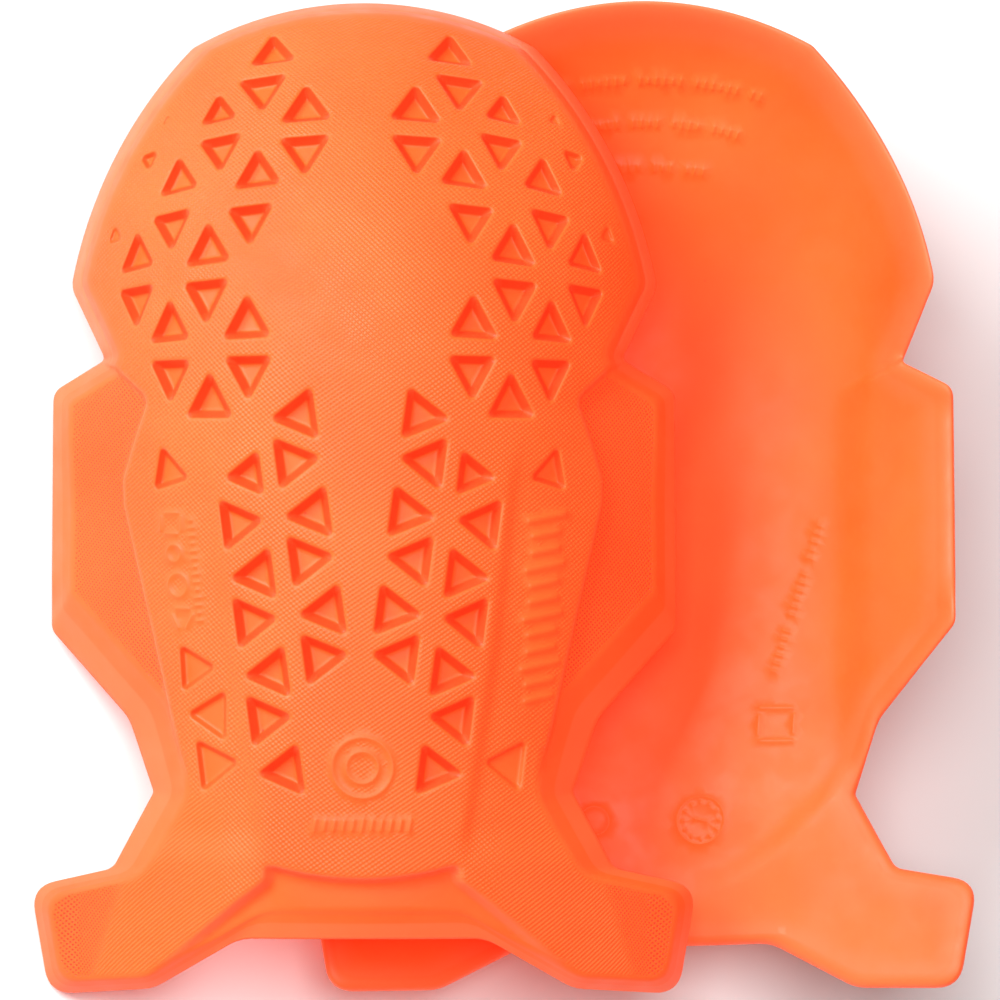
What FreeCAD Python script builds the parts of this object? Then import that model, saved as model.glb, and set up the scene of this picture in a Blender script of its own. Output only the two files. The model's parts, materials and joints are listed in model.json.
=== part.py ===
import FreeCAD, Part
import math
import os
import Sketcher

# A pair of one-piece moulded foam knee pads, in mm. Each pad has a frame of its own:
# u across (right seen from the outside), v along (up towards the thigh) and w out from
# the knee, with w = 0 on the crown. One pad lies cup down over the other, cup up.

SIZES = [
    ("pad_length", 200.0, "top of the dome to the ends of the feet"),
    ("foot_span", 134.4, "width over the two feet, the widest place"),
    ("centre_thickness", 12.0, "foam on the crown"),
    ("rim_thickness", 6.2, "foam at the rim, square to the surface"),
    ("wing_thickness", 5.0, "foam of the thin wings and of the lip"),
    ("wing_step", 2.4, "how far wings and lip sit below the raised body"),
    ("pocket_side", 10.8, "side of a triangular pocket"),
    ("pocket_depth", 3.6, "depth of a triangular pocket"),
    ("shallow_depth", 1.8, "depth of the pockets beside the shin strips"),
    ("strip_lean", 8.1, "degrees that a shin strip leans to the centre line"),
    ("top_radius", 70.0, "arc across the top of the dome"),
    ("side_radius", 95.0, "arc down the side of the dome"),
    ("ledge_radius", 65.0, "arc of the ledge over the lip"),
    ("sharp_corner", 1.5, "radius in the notch and at the waist"),
    ("wing_corner", 3.5, "radius on the wings and the dome's top corners"),
    ("foot_corner", 5.5, "radius on the feet and the dome's sides"),
    ("soft_corner", 9.0, "radius of the gentle bends"),
    ("overlap_across", 58.6, "crown of one pad to crown of the other, across"),
    ("overlap_along", -5.3, "the same, along"),
    ("under_roll", -3.0, "degrees that the lower pad rolls against the upper one"),
    ("under_pitch", -8.0, "degrees that the lower pad pitches against the upper one"),
    ("nest_gap", 0.4, "clearance between the two pads"),
    ("pair_roll", -16.85, "degrees about Y at which the pair lies still"),
    ("pair_pitch", 5.9, "degrees about X at which the pair lies still"),
]
DERIVED = [
    ("half_length", "=pad_length / 2"),
    ("half_span", "=foot_span / 2"),
    ("crown_radius", "=foot_span * 0.495"),
    ("dome_radius", "=pad_length / 2"),
    ("shin_radius", "=pad_length * 3.75"),
    ("prism_depth", "=pad_length * 0.4"),
    ("pocket_reach", "=pocket_side / sqrt(3)"),
    ("strip_step", "=pad_length * 0.0495"),
]

# Corners of the right half of the outline, as shares of half_span and half_length, going
# down from the dome's top corner, each with the size that rounds it.
OUTLINE = [
    ("dome top corner", 0.515, 0.909, "wing_corner"),
    ("dome side", 0.881, 0.425, "foot_corner"),
    ("notch", 0.774, 0.278, "sharp_corner"),
    ("wing top corner", 0.933, 0.214, "wing_corner"),
    ("wing lower corner", 0.939, -0.268, "wing_corner"),
    ("chamfer end", 0.702, -0.444, "soft_corner"),
    ("waist", 0.627, -0.592, "sharp_corner"),
    ("foot root", 0.750, -0.746, "wing_corner"),
    ("foot top corner", 1.000, -0.785, "foot_corner"),
    ("foot end corner", 0.945, -1.002, "foot_corner"),
    ("foot inner bend", 0.629, -0.988, "soft_corner"),
    ("lip corner", 0.368, -0.885, "soft_corner"),
]
# The same for the raised body. Its outer corners lie beyond the outline.
BODY = [
    (1.20, 1.10),
    (1.20, 0.60),
    (0.774, 0.278),
    (0.644, 0.197),
    (0.728, 0.035),
    (0.728, -0.015),
    (0.539, -0.571),
    (0.627, -0.592),
    (1.20, -0.64),
    (1.20, -1.10),
    (0.76, -1.10),
    (0.653, -0.972),
    (0.451, -0.854),
    (0.368, -0.808),
    (0.289, -0.768),
    (0.292, -0.735),
]

# Pockets on one side of the dome, fanning out from its top: centre as shares, which way
# the apex points, size.
DOME_POCKETS = [
    (0.265, 0.898, "up", 0.90),
    (0.295, 0.821, "down", 0.95),
    (0.164, 0.781, "up", 0.97),
    (0.426, 0.775, "up", 0.74),
    (0.420, 0.700, "down", 0.88),
    (0.167, 0.697, "down", 0.97),
    (0.308, 0.650, "up", 0.92),
    (0.329, 0.557, "down", 0.91),
    (0.545, 0.638, "up", 0.85),
    (0.565, 0.545, "down", 0.88),
    (0.455, 0.497, "up", 0.94),
    (0.460, 0.404, "down", 0.95),
    (0.670, 0.484, "up", 0.86),
    (0.671, 0.394, "down", 0.90),
    (0.338, 0.349, "up", 0.95),
    (0.333, 0.252, "down", 0.94),
    (0.570, 0.342, "up", 0.92),
    (0.567, 0.245, "down", 0.92),
    (0.449, 0.191, "up", 0.98),
]
# Pockets that fade out on the dome's shoulder, in the same way.
FADED_POCKETS = [
    (0.580, 0.759, "up", 0.30),
    (0.635, 0.680, "down", 0.50),
    (0.738, 0.526, "up", 0.42),
]
# Shin strips: first pocket, as shares, and how many pockets.
STRIPS = [(0.368, 0.0435, 7), (0.202, 0.167, 6)]
FIRST_OUTER = 0.84  # the outer strip starts with a smaller pocket
# Shallow pockets beside the strips: u, v, apex direction in degrees, size.
SHALLOW = [
    (-0.579, 0.052, 105.0, 0.86),
    (0.573, 0.051, 75.0, 0.84),
    (-0.507, -0.342, 4.0, 0.88),
    (-0.446, -0.437, 180.0, 0.94),
    (-0.448, -0.536, 8.0, 0.98),
    (0.451, -0.536, 172.0, 0.95),
]


def fill_sheet(doc):
    sheet = doc.addObject("Spreadsheet::Sheet", "dims")
    for row, (name, value, note) in enumerate(SIZES, start=1):
        sheet.set(f"A{row}", name)
        sheet.set(f"B{row}", str(value))
        sheet.set(f"C{row}", note)
        sheet.setAlias(f"B{row}", name)
    for row, (name, formula) in enumerate(DERIVED, start=len(SIZES) + 1):
        sheet.set(f"A{row}", name)
        sheet.setAlias(f"B{row}", name)
        sheet.set(f"B{row}", formula)
    doc.recompute()
    return sheet


def smooth(start, end, x):
    share = min(1.0, max(0.0, (x - start) / (end - start)))
    return share * share * (3 - 2 * share)


class Surface:
    """Heights of the pad's outer and inner faces over (u, v)."""

    def __init__(self, sheet):
        self.size = sheet

    def ridge(self, v):
        """Height along the centre line: round over the dome, nearly straight down the shin."""
        rise = v - 0.2 * self.size.half_length
        radius = self.size.dome_radius if rise > 0 else self.size.shin_radius
        rise = min(rise, 0.97 * radius)
        return math.sqrt(radius**2 - rise**2) - radius

    def round_reach(self, v):
        """How far out the cross section stays round before it runs straight."""
        share = v / self.size.half_length
        dome = smooth(0.15, 0.40, share)
        foot = smooth(-0.25, -0.70, share)
        return self.size.half_span * (0.626 + 0.178 * dome - 0.179 * foot)

    def outer(self, u, v, lowered=0.0):
        radius = self.size.crown_radius
        reach = self.round_reach(v)
        across = min(abs(u), reach)
        drop = radius - math.sqrt(radius**2 - across**2)
        slope = across / math.sqrt(radius**2 - across**2)
        drop += slope * (abs(u) - across)
        return self.ridge(v) - drop - lowered * math.hypot(1, slope)

    def thickness(self, u, v):
        share_u = abs(u) / self.size.half_span
        share_v = v / self.size.half_length
        middle = 1 - smooth(0.15, 0.75, share_u)
        middle *= smooth(-0.90, -0.55, share_v) * (1 - smooth(0.60, 0.95, share_v))
        wing = smooth(0.60, 0.75, share_u) * (1 - smooth(0.20, 0.30, share_v))
        wing *= smooth(-0.60, -0.45, share_v)
        plate = self.size.wing_step + self.size.wing_thickness
        edge = self.size.rim_thickness + wing * (plate - self.size.rim_thickness)
        return edge + middle * (self.size.centre_thickness - edge)

    def inner(self, u, v):
        return self.outer(u, v) - self.thickness(u, v) / self.normal(u, v).z

    def normal(self, u, v):
        step = 0.1
        slope_u = (self.outer(u + step, v) - self.outer(u - step, v)) / (2 * step)
        slope_v = (self.outer(u, v + step) - self.outer(u, v - step)) / (2 * step)
        return FreeCAD.Vector(-slope_u, -slope_v, 1).normalize()

    def slab(self, doc, name, height):
        """A solid whose top is the surface height(u, v)."""
        columns = 31
        rows = 45
        reach_u = 1.15 * self.size.half_span
        reach_v = 1.12 * self.size.half_length
        across = [reach_u * (2 * i / (columns - 1) - 1) for i in range(columns)]
        along = [reach_v * (2 * j / (rows - 1) - 1) for j in range(rows)]
        grid = [[FreeCAD.Vector(u, v, height(u, v)) for v in along] for u in across]
        sheet = Part.BSplineSurface()
        sheet.interpolate(grid)
        feature = doc.addObject("Part::Feature", name)
        feature.Shape = sheet.toShape().extrude(FreeCAD.Vector(0, 0, -1.5 * self.size.half_length))
        return feature


def origin_plane(body, role):
    return next(item for item in body.Origin.OriginFeatures if item.Role == role)


def tie(sketch, constraint, name, formula):
    """Adds a dimension that follows a formula of the sheet's values."""
    number = sketch.addConstraint(constraint)
    sketch.renameConstraint(number, name)
    sketch.setExpression(f"Constraints.{name}", formula)


def hold(sketch, index, point, name, share_u, share_v, sizes):
    """Dimensions one point of the sketch from the origin."""
    for kind, share, whole in (("X", share_u, "half_span"), ("Y", share_v, "half_length")):
        now = share * sizes.getPropertyByName(whole)
        size = Sketcher.Constraint(f"Distance{kind}", -1, 1, index, point, now)
        tie(sketch, size, f"{name}_{kind.lower()}", f"dims.{whole} * {share}")


def arc_through(start, end, radius):
    """The arc between two points that bulges to the left of the way from start to end."""
    chord = end - start
    side = FreeCAD.Vector(chord.y, -chord.x, 0).normalize()
    centre = (start + end) * 0.5 + side * math.sqrt(radius**2 - (chord.Length / 2) ** 2)
    circle = Part.Circle(centre, FreeCAD.Vector(0, 0, 1), radius)
    first = math.atan2(end.y - centre.y, end.x - centre.x)
    last = math.atan2(start.y - centre.y, start.x - centre.x)
    return Part.ArcOfCircle(circle, first, last)


def outline_sketch(doc, body, name, corners, sizes, arcs):
    """A closed outline, symmetric about the v axis, from the corners of its right half."""
    sketch = doc.addObject("Sketcher::SketchObject", name)
    body.addObject(sketch)
    sketch.AttachmentSupport = [(origin_plane(body, "XY_Plane"), "")]
    sketch.MapMode = "FlatFace"
    right = [FreeCAD.Vector(u * sizes.half_span, v * sizes.half_length, 0) for u, v in corners]
    left = [FreeCAD.Vector(-p.x, p.y, 0) for p in reversed(right)]
    points = right + left
    count = len(points)
    for i in range(count):
        start = points[i]
        end = points[(i + 1) % count]
        radius = arcs.get(i) or arcs.get(i - count)
        if radius:
            arc = arc_through(start, end, sizes.getPropertyByName(radius))
            sketch.addGeometry(arc, False)
        else:
            sketch.addGeometry(Part.LineSegment(start, end), False)
    # An arc is stored anticlockwise, against the way round the outline.
    ends = [(2, 1) if isinstance(curve, Part.ArcOfCircle) else (1, 2) for curve in sketch.Geometry]
    for i in range(count):
        after = (i + 1) % count
        sketch.addConstraint(Sketcher.Constraint("Coincident", i, ends[i][1], after, ends[after][0]))
    for i, (share_u, share_v) in enumerate(corners):
        hold(sketch, i, ends[i][0], f"corner_{i}", share_u, share_v, sizes)
        twin = count - 1 - i
        sketch.addConstraint(Sketcher.Constraint("Symmetric", i, ends[i][0], twin, ends[twin][0], -2))
    for i, radius in arcs.items():
        size = Sketcher.Constraint("Radius", i % count, sizes.getPropertyByName(radius))
        tie(sketch, size, f"arc_{i % count}", f"dims.{radius}")
    return sketch


def prism(doc, name, corners, sizes, arcs):
    body = doc.addObject("PartDesign::Body", name)
    sketch = outline_sketch(doc, body, f"{name}_sketch", corners, sizes, arcs)
    pad = doc.addObject("PartDesign::Pad", f"{name}_block")
    body.addObject(pad)
    pad.Profile = sketch
    pad.Midplane = True
    pad.setExpression("Length", "2 * dims.prism_depth")
    doc.recompute()
    return body, pad


def upright_edges(shape, places):
    """Names of the upright edges that stand at these places."""
    found = []
    for number, edge in enumerate(shape.Edges, start=1):
        first, last = edge.Vertexes[0].Point, edge.Vertexes[-1].Point
        upright = math.hypot(first.x - last.x, first.y - last.y) < 1e-3
        if upright and any(math.hypot(first.x - p.x, first.y - p.y) < 0.01 for p in places):
            found.append(f"Edge{number}")
    return found


def round_corners(doc, body, pad, sizes):
    """Rounds the outline's corners, one fillet for each corner size."""
    last = pad
    for radius in ("sharp_corner", "wing_corner", "foot_corner", "soft_corner"):
        places = [
            FreeCAD.Vector(side * u * sizes.half_span, v * sizes.half_length, 0)
            for _, u, v, corner in OUTLINE
            for side in (-1, 1)
            if corner == radius
        ]
        fillet = doc.addObject("PartDesign::Fillet", f"round_{radius}")
        body.addObject(fillet)
        fillet.Base = (last, upright_edges(last.Shape, places))
        fillet.setExpression("Radius", f"dims.{radius}")
        doc.recompute()
        last = fillet


def boolean(doc, kind, name, base, tool):
    feature = doc.addObject(f"Part::{kind}", name)
    feature.Base = base
    feature.Tool = tool
    return feature


def pocket(doc, name, surface, u, v, turn, scale=1.0, depth="pocket_depth"):
    """A triangular cutter square to the surface; its apex points turn degrees round from +u."""
    clear = 2.5
    cutter = doc.addObject("Part::Prism", name)
    cutter.Polygon = 3
    cutter.setExpression("Circumradius", f"dims.pocket_reach * {scale}")
    cutter.setExpression("Height", f"dims.{depth} + {clear}")
    normal = surface.normal(u, v)
    angle = math.radians(turn)
    apex = FreeCAD.Vector(math.cos(angle), math.sin(angle), 0)
    apex = (apex - normal * apex.dot(normal)).normalize()
    spin = FreeCAD.Rotation(apex, normal.cross(apex), normal, "ZXY")
    floor = surface.size.getPropertyByName(depth)
    place = FreeCAD.Vector(u, v, surface.outer(u, v)) - normal * floor
    cutter.Placement = FreeCAD.Placement(place, spin)
    return cutter


def dome_pockets(doc, surface, sizes):
    """The dome's pockets, mirrored."""
    found = []
    for kind, rows, depth in (
        ("dome", DOME_POCKETS, "pocket_depth"),
        ("faded", FADED_POCKETS, "shallow_depth"),
    ):
        for number, (share_u, share_v, apex, scale) in enumerate(rows):
            u = share_u * sizes.half_span
            v = share_v * sizes.half_length
            turn = 90 if apex == "up" else -90
            for side, word in ((-1, "left"), (1, "right")):
                name = f"{kind}_pocket_{word}_{number:02d}"
                found.append(pocket(doc, name, surface, side * u, v, turn, scale, depth))
    return found


def shin_pockets(doc, surface, sizes):
    """Two leaning strips of pockets on each side, with apexes out and in by turns."""
    found = []
    lean = math.radians(sizes.strip_lean)
    shift = 0.14 * sizes.pocket_side
    for strip, (share_u, share_v, count) in enumerate(STRIPS):
        for i in range(count):
            out = i % 2 == 0
            along = i * sizes.strip_step
            aside = -shift if out else shift
            u = share_u * sizes.half_span - along * math.sin(lean) + aside * math.cos(lean)
            v = share_v * sizes.half_length - along * math.cos(lean) + aside * math.sin(lean)
            scale = FIRST_OUTER if strip == 0 and i == 0 else 1.0
            tilt = -sizes.strip_lean if out else 180 - sizes.strip_lean
            for side, word in ((-1, "left"), (1, "right")):
                turn = tilt if side == 1 else 180 - tilt
                name = f"shin_pocket_{word}_{strip}_{i}"
                found.append(pocket(doc, name, surface, side * u, v, turn, scale))
    return found


def shallow_pockets(doc, surface, sizes):
    found = []
    for number, (share_u, share_v, turn, scale) in enumerate(SHALLOW):
        u = share_u * sizes.half_span
        v = share_v * sizes.half_length
        name = f"shallow_pocket_{number}"
        found.append(pocket(doc, name, surface, u, v, turn, scale, "shallow_depth"))
    return found


def lift_needed(footprint, surface, upper, lower):
    """How far up the upper pad has to go for both rims to clear the other pad's cup."""
    lift = -1e9
    rim = [p for edge in footprint.Edges for p in edge.discretize(12)]
    for one, other, sign in ((lower, upper, 1), (upper, lower, -1)):
        into = other.inverse()
        step = into.Rotation.multVec(FreeCAD.Vector(0, 0, sign))
        for p in rim:
            at = FreeCAD.Vector(p.x, p.y, surface.inner(p.x, p.y))
            there = into.multVec(one.multVec(at))
            if footprint.isInside(FreeCAD.Vector(there.x, there.y, 0), 0.1, True):
                past = there.z - surface.inner(there.x, there.y)
                lift = max(lift, past / step.z)
    return lift


def turned(pitch, roll):
    about_x = FreeCAD.Rotation(FreeCAD.Vector(1, 0, 0), pitch)
    return about_x.multiply(FreeCAD.Rotation(FreeCAD.Vector(0, 1, 0), roll))


def placements(footprint, surface, sizes):
    """Upper and lower pad, the lower one flipped over, tilted to the way the pair lies."""
    upper = FreeCAD.Placement()
    beside = FreeCAD.Vector(sizes.overlap_across, sizes.overlap_along, 0)
    lower = FreeCAD.Placement(beside, turned(sizes.under_pitch, 180 + sizes.under_roll))
    lift = lift_needed(footprint, surface, upper, lower) + sizes.nest_gap
    upper.move(FreeCAD.Vector(0, 0, lift))
    tilt = FreeCAD.Placement(FreeCAD.Vector(), turned(sizes.pair_pitch, sizes.pair_roll))
    return tilt.multiply(upper), tilt.multiply(lower)


def stand_on_floor(pads):
    """Moves the pads so that their box stands on the origin."""
    points = [p for pad in pads for p in pad.Shape.tessellate(0.05)[0]]
    middle_x = (min(p.x for p in points) + max(p.x for p in points)) / 2
    middle_y = (min(p.y for p in points) + max(p.y for p in points)) / 2
    shift = FreeCAD.Vector(-middle_x, -middle_y, -min(p.z for p in points))
    for pad in pads:
        place = pad.Placement
        place.move(shift)
        pad.Placement = place


def build():
    doc = FreeCAD.newDocument("knee_pads")
    sizes = fill_sheet(doc)
    surface = Surface(sizes)

    corners = [(u, v) for _, u, v, _ in OUTLINE]
    arcs = {0: "side_radius", -1: "top_radius", -2: "side_radius"}
    outline, block = prism(doc, "outline", corners, sizes, arcs)
    footprint = Part.Face(outline.Group[0].Shape)
    round_corners(doc, outline, block, sizes)
    raised, _ = prism(doc, "raised_body", BODY, sizes, {len(BODY) - 1: "ledge_radius"})

    body_face = surface.slab(doc, "body_face", surface.outer)
    wing_face = surface.slab(
        doc, "wing_face", lambda u, v: surface.outer(u, v, sizes.wing_step)
    )
    cup_face = surface.slab(doc, "cup_face", surface.inner)
    raised_slab = boolean(doc, "Common", "raised_slab", raised, body_face)
    skin = boolean(doc, "Fuse", "skin", wing_face, raised_slab)
    blank = boolean(doc, "Common", "blank", outline, skin)
    shell = boolean(doc, "Cut", "shell", blank, cup_face)

    cutters = doc.addObject("Part::Compound", "pocket_cutters")
    cutters.Links = (
        dome_pockets(doc, surface, sizes)
        + shin_pockets(doc, surface, sizes)
        + shallow_pockets(doc, surface, sizes)
    )
    pads = []
    for name, place in zip(
        ("left_knee_pad", "right_knee_pad"), placements(footprint, surface, sizes)
    ):
        pad = boolean(doc, "Cut", name, shell, cutters)
        pad.Placement = place
        pads.append(pad)
    doc.recompute()
    stand_on_floor(pads)
    doc.recompute()
    return doc, pads


def export(doc, pads):
    for item in doc.Objects:
        if "Invalid" in item.State or "Error" in item.State:
            raise RuntimeError(f"{item.Label} didn't build")
    os.makedirs("parts", exist_ok=True)
    for pad in pads:
        if pad.Shape.isNull() or not pad.Shape.isValid() or len(pad.Shape.Solids) != 1:
            raise RuntimeError(f"{pad.Label} isn't one valid solid")
    for pad in pads:
        pad.Shape.exportStep(f"parts/{pad.Label}.step")


document, knee_pads = build()
export(document, knee_pads)
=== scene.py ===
import json
import math

import bpy
import numpy as np
from mathutils import Matrix, Vector
from mathutils.geometry import delaunay_2d_cdt
from mathutils.kdtree import KDTree

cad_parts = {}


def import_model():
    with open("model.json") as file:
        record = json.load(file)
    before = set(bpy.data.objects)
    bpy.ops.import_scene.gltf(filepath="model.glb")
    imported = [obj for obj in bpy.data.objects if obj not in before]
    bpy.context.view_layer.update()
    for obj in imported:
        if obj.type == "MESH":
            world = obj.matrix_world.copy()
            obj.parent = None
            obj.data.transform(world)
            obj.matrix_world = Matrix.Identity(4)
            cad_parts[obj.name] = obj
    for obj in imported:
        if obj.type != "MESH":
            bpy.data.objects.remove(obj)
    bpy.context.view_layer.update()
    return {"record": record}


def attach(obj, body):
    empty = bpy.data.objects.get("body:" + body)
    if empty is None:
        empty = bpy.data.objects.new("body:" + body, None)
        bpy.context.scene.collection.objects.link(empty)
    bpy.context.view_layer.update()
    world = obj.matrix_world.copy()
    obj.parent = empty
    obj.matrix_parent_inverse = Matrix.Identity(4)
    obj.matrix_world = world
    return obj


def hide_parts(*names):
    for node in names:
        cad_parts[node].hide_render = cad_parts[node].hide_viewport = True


# A pair of moulded foam knee pads. Each pad is built in a frame of its own, in mm: u across,
# v along (up towards the thigh) and w out from the knee, with w = 0 on the crown.

HALF_LENGTH = 100.0
HALF_SPAN = 67.2
CROWN_RADIUS = 0.99 * HALF_SPAN
DOME_RADIUS = 100.0
SHIN_RADIUS = 750.0
DOME_START = 20.0
CENTRE_THICKNESS = 12.0
RIM_THICKNESS = 6.2
WING_THICKNESS = 5.0
WING_STEP = 2.4
LIP_STEP = 3.0
TONGUE_STEP = 0.9
CREASE_RISE = 1.7
ROUND_WIDTH = 1.15  # the rounding between the outer face and the wall
MARK_HEIGHT = 0.28
MARK_SLOPE = 0.16  # half the width of a mark's sloping side
KNURL_PITCH = 0.78

FOAM = (1.0, 0.122, 0.017)
FOAM_DEEP = (1.0, 0.102, 0.012)
# Pale pink painted highlight, laid on the rims, the walls round the edge, the body's step and the
# cup's edge.
FOAM_PAINTED_HIGHLIGHT = (1.0, 0.165, 0.062)
# Deep red painted shade, for the pocket walls and the pits.
FOAM_PAINTED_SHADE = (0.95, 0.026, 0.010)
FOAM_WORN = (1.0, 0.19, 0.06)
FOAM_SPECK = (0.30, 0.02, 0.01)
FLOOR_GREY = (0.92, 0.92, 0.92, 1.0)

VIEW_ACROSS = 27.5  # the middle of the view, in the left pad's own frame
VIEW_ALONG = -0.5
RIM_PLANE = 45.0  # how far below the crown the camera aims
VIEW_WIDTH = 202.2
VIEW_DISTANCE = 3.5  # metres
SENSOR_WIDTH = 36.0

# ---------------------------------------------------------------- surfaces


def smooth(start, end, x):
    share = np.clip((x - start) / (end - start), 0.0, 1.0)
    return share * share * (3 - 2 * share)


def ridge(v):
    rise = v - DOME_START
    radius = np.where(rise > 0, DOME_RADIUS, SHIN_RADIUS)
    rise = np.minimum(rise, 0.97 * radius)
    return np.sqrt(radius**2 - rise**2) - radius


def round_reach(v):
    share = v / HALF_LENGTH
    dome = smooth(0.15, 0.40, share)
    foot = smooth(-0.25, -0.70, share)
    return HALF_SPAN * (0.626 + 0.178 * dome - 0.179 * foot)


def slope_across(u, v):
    across = np.minimum(np.abs(u), round_reach(v))
    return across / np.sqrt(CROWN_RADIUS**2 - across**2)


def body_height(u, v):
    across = np.minimum(np.abs(u), round_reach(v))
    drop = CROWN_RADIUS - np.sqrt(CROWN_RADIUS**2 - across**2)
    return ridge(v) - drop - slope_across(u, v) * (np.abs(u) - across)


def body_normal(u, v):
    step = 0.2
    slope_u = (body_height(u + step, v) - body_height(u - step, v)) / (2 * step)
    slope_v = (body_height(u, v + step) - body_height(u, v - step)) / (2 * step)
    normal = np.stack([-slope_u, -slope_v, np.ones_like(slope_u)], axis=-1)
    return normal / np.linalg.norm(normal, axis=-1, keepdims=True)


def thickness(u, v):
    share_u = np.abs(u) / HALF_SPAN
    share_v = v / HALF_LENGTH
    middle = 1 - smooth(0.15, 0.75, share_u)
    middle = middle * smooth(-0.90, -0.55, share_v) * (1 - smooth(0.60, 0.95, share_v))
    # The wing's inner face stands proud of the dome's, with a short step at the notch.
    lean = v + 0.37 * (48.3 - np.abs(u))
    wing = smooth(38.0, 46.0, np.abs(u)) * (1 - smooth(26.0, 27.6, lean))
    wing = wing * smooth(-60.0, -45.0, v)
    plate = WING_STEP + WING_THICKNESS + 0.9
    edge = RIM_THICKNESS + wing * (plate - RIM_THICKNESS)
    above = above_crease(u, v)
    crease = smooth(-24.0, 0.0, above) * (1 - smooth(0.0, 8.0, above))
    return edge + middle * (CENTRE_THICKNESS - edge) + CREASE_RISE * crease


def above_crease(u, v):
    """How far above the crease that ends the shin's trough, on the inner face."""
    return v + 81.0 - 0.0145 * u**2


def cup_height(u, v):
    return body_height(u, v) - thickness(u, v) / body_normal(u, v)[..., 2]


# ---------------------------------------------------------------- outlines


def segment_normal(direction):
    """Left of the way round, which is the inside."""
    return np.array([direction[1], -direction[0]])


class Outline:
    """A closed outline of straight lines and arcs, run clockwise, that can be offset inwards
    by a distance of its own for each segment. Every offset ring has the same number of points."""

    def __init__(self, corners, bulges, radii, step):
        self.corners = [np.array(c, float) for c in corners]
        self.bulges = bulges
        self.radii = radii
        self.count = len(corners)
        self.ends = [self.tangents(i) for i in range(self.count)]
        self.turns = [
            self.turn(self.ends[i - 1][1], self.ends[i][0]) for i in range(self.count)
        ]
        self.samples = [
            max(2, math.ceil(self.chord(i) / step)) for i in range(self.count)
        ]
        self.arcs = [max(3, math.ceil(abs(t) * 5)) for t in self.turns]

    def chord(self, i):
        return np.linalg.norm(self.corners[(i + 1) % self.count] - self.corners[i])

    @staticmethod
    def turn(before, after):
        """Positive where the outline is convex."""
        cross = before[0] * after[1] - before[1] * after[0]
        return -math.atan2(cross, float(before @ after))

    def tangents(self, i):
        """Directions at a segment's start and end; an arc leaves its chord by half its angle."""
        chord = self.corners[(i + 1) % self.count] - self.corners[i]
        length = np.linalg.norm(chord)
        direction = chord / length
        radius = self.bulges.get(i)
        if not radius:
            return direction, direction
        half = math.asin(length / (2 * radius))
        return rotate(direction, half), rotate(direction, -half)

    def offset_corners(self, widths):
        found = []
        for i in range(self.count):
            before, after = self.ends[i - 1][1], self.ends[i][0]
            start = self.corners[i] + segment_normal(before) * widths[i - 1]
            other = self.corners[i] + segment_normal(after) * widths[i]
            cross = before[0] * after[1] - before[1] * after[0]
            gap = other - start
            if abs(cross) < 0.05:
                found.append((start + other) / 2)
            else:
                along = (gap[0] * after[1] - gap[1] * after[0]) / cross
                found.append(start + before * along)
        return found

    def ring(self, widths):
        """Points of the outline moved inwards, segment i by widths[i]."""
        corners = self.offset_corners(widths)
        points = []
        starts = []
        for i in range(self.count):
            turn = self.turns[i]
            mean = (widths[i - 1] + widths[i]) / 2
            radius = self.radii[i] + (-0.4 if turn > 0 else 0.9) * mean
            starts.append(max(0.35, radius) * math.tan(abs(turn) / 2))
        for i in range(self.count):
            after = (i + 1) % self.count
            length = np.linalg.norm(corners[after] - corners[i])
            cut_a = min(starts[i], 0.45 * length) / length
            cut_b = min(starts[after], 0.45 * length) / length
            before_length = np.linalg.norm(corners[i] - corners[i - 1])
            cut_before = min(starts[i], 0.45 * before_length) / before_length
            into = self.along(corners, widths, i - 1, 1 - cut_before)
            out = self.along(corners, widths, i, cut_a)
            for k in range(1, self.arcs[i]):
                share = k / self.arcs[i]
                points.append(
                    (1 - share) ** 2 * into + 2 * share * (1 - share) * corners[i] + share**2 * out
                )
            for k in range(self.samples[i] + 1):
                share = cut_a + (1 - cut_b - cut_a) * k / self.samples[i]
                points.append(self.along(corners, widths, i, share))
        return np.array(points)

    def along(self, corners, widths, i, share):
        i %= self.count
        start, end = corners[i], corners[(i + 1) % self.count]
        straight = start + (end - start) * share
        radius = self.bulges.get(i)
        if not radius:
            return straight
        radius -= widths[i]
        chord = end - start
        length = np.linalg.norm(chord)
        centre_drop = math.sqrt(radius**2 - (length / 2) ** 2)
        aside = (share - 0.5) * length
        rise = math.sqrt(radius**2 - aside**2) - centre_drop
        return straight - segment_normal(chord / length) * rise

    def spread(self, values):
        """One value for each point of a ring, blended over the corners."""
        found = []
        for i in range(self.count):
            for k in range(1, self.arcs[i]):
                share = k / self.arcs[i]
                found.append(values[i - 1] * (1 - share) + values[i] * share)
            found.extend([values[i]] * (self.samples[i] + 1))
        return np.array(found)


def rotate(direction, angle):
    cos, sin = math.cos(angle), math.sin(angle)
    return np.array(
        [cos * direction[0] - sin * direction[1], sin * direction[0] + cos * direction[1]]
    )


# Corners of the right half, as shares of HALF_SPAN and HALF_LENGTH, each with its radius;
# then, for the segment that leaves the corner, the width of the wall seen from outside and
# the width of the soft rim round the cup.
CORNERS = [
    (0.515, 0.909, 4.0, 3.2, 4.0),
    (0.881, 0.425, 5.5, 3.4, 4.0),
    (0.774, 0.278, 1.5, 2.4, 4.0),
    (0.933, 0.214, 3.5, 1.8, 4.2),
    (0.939, -0.268, 3.5, 6.4, 4.2),
    (0.702, -0.444, 9.0, 6.4, 3.4),
    (0.627, -0.592, 1.5, 5.8, 3.2),
    (0.750, -0.746, 3.5, 2.4, 3.0),
    (1.000, -0.785, 5.5, 2.8, 3.0),
    (0.945, -1.002, 5.5, 2.4, 3.0),
    (0.629, -0.988, 9.0, 2.6, 3.0),
    (0.368, -0.885, 9.0, 5.4, 2.0),
]
TOP = (2.4, 4.2)  # the same two widths for the arc over the top
SIDE_ARC = 95.0
TOP_ARC = 70.0


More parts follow.
